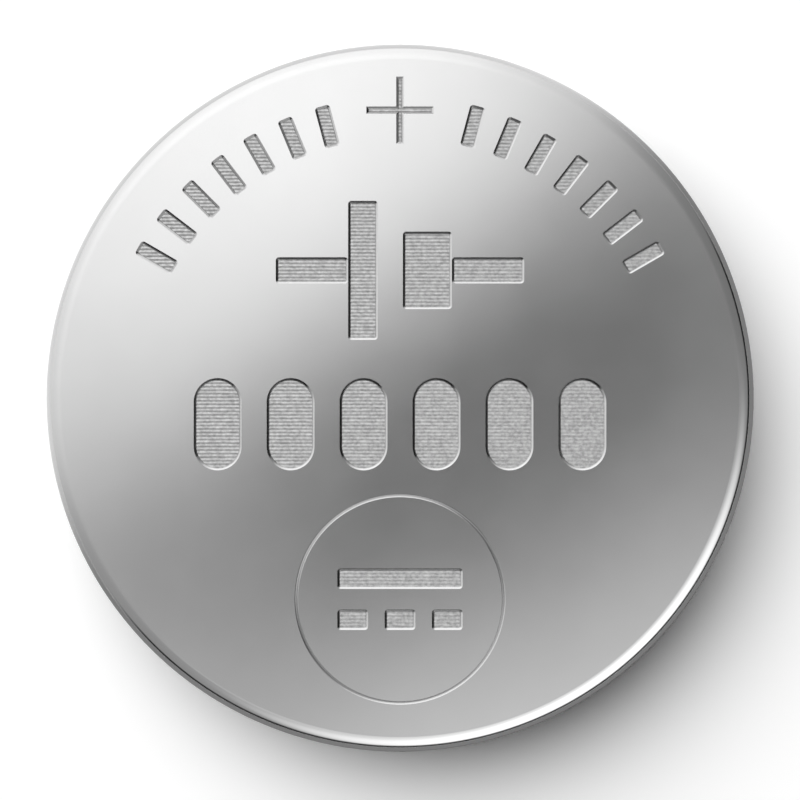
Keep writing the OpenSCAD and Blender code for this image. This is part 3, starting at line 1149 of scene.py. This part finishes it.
class CELL_OT_inside(bpy.types.Operator):
    """Finish the solids sealed inside the cell"""

    bl_idname = "cell.inside"
    bl_label = "Inside"

    def execute(self, context):
        c = own(context, "colours")
        finishes = {
            "lithium_anode": rolled_lithium(c.lithium),
            "separator": felt(c.felt),
            "cathode_pellet": pressed_powder(c.cathode),
            "cathode_collector": expanded_sheet(c.grid),
        }
        for node, finish in finishes.items():
            slots = FRAME["nodes"][node].data.materials
            slots.clear()
            slots.append(finish)
        return {"FINISHED"}


class CELL_OT_stage(bpy.types.Operator):
    """Set up the camera, the floor and the light"""

    bl_idname = "cell.stage"
    bl_label = "Stage"

    def execute(self, context):
        s, studio = own(context, "section"), own(context, "studio")
        scene = context.scene
        lens = bpy.data.cameras.new("camera")
        lens.lens = studio.lens
        lens.clip_start = MM
        camera = bpy.data.objects.new("camera", lens)
        reach = 2 * s.cell_r * studio.lens / lens.sensor_width
        reach *= studio.photo_px / studio.cell_px
        drop = 2 * s.cell_r * studio.shift_px / studio.cell_px
        camera.location = (0, -drop, s.cell_h - s.can_edge_r + reach)
        scene.collection.objects.link(camera)
        scene.camera = camera

        half = studio.floor_half
        mesh = bpy.data.meshes.new("floor")
        mesh.from_pydata(
            [(-half, -half, 0), (half, -half, 0), (half, half, 0), (-half, half, 0)],
            [], [(0, 1, 2, 3)],
        )
        mesh.materials.append(
            white_paper(own(context, "colours").floor, studio.floor_gain)
        )
        floor = bpy.data.objects.new("floor", mesh)
        # The grey card is painted reflected shade that only the metal sees.
        card = mirrored_shade_card(studio, own(context, "colours").card)
        for prop in (floor, card):
            scene.collection.objects.link(prop)
        scene.world = studio_sky()
        scene.view_settings.view_transform = "Standard"
        return {"FINISHED"}


class CELL_PT_sidebar(bpy.types.Panel):
    """Lists the cell's pieces and settings"""

    bl_idname = "CELL_PT_sidebar"
    bl_label = "Coin cell"
    bl_space_type = "VIEW_3D"
    bl_region_type = "UI"
    bl_category = "Coin cell"

    def draw(self, context):
        for step in STEPS:
            self.layout.operator(step.bl_idname)
        for name, kind in GROUPS.items():
            box = self.layout.box()
            box.label(text=kind.__doc__)
            settings = own(context, name)
            for title in kind.__annotations__:
                box.prop(settings, title)


GROUPS = {
    "section": CELL_PG_section,
    "marks": CELL_PG_marks,
    "colours": CELL_PG_colours,
    "studio": CELL_PG_studio,
}
STEPS = (CELL_OT_can, CELL_OT_cap, CELL_OT_gasket, CELL_OT_inside, CELL_OT_stage)


def register():
    """Makes the settings, the operators and the panel known to Blender."""
    for name, kind in GROUPS.items():
        bpy.utils.register_class(kind)
        setattr(bpy.types.Scene, "cell_" + name, bpy.props.PointerProperty(type=kind))
    for kind in (*STEPS, CELL_PT_sidebar):
        bpy.utils.register_class(kind)


def unregister():
    """Takes them away again."""
    for kind in (CELL_PT_sidebar, *reversed(STEPS)):
        bpy.utils.unregister_class(kind)
    for name, kind in GROUPS.items():
        delattr(bpy.types.Scene, "cell_" + name)
        bpy.utils.unregister_class(kind)


def main():
    """Dresses the cell and sets the stage."""
    register()
    bpy.ops.cell.can()
    bpy.ops.cell.cap()
    bpy.ops.cell.gasket()
    bpy.ops.cell.inside()
    bpy.ops.cell.stage()


if __name__ == "__main__":
    main()
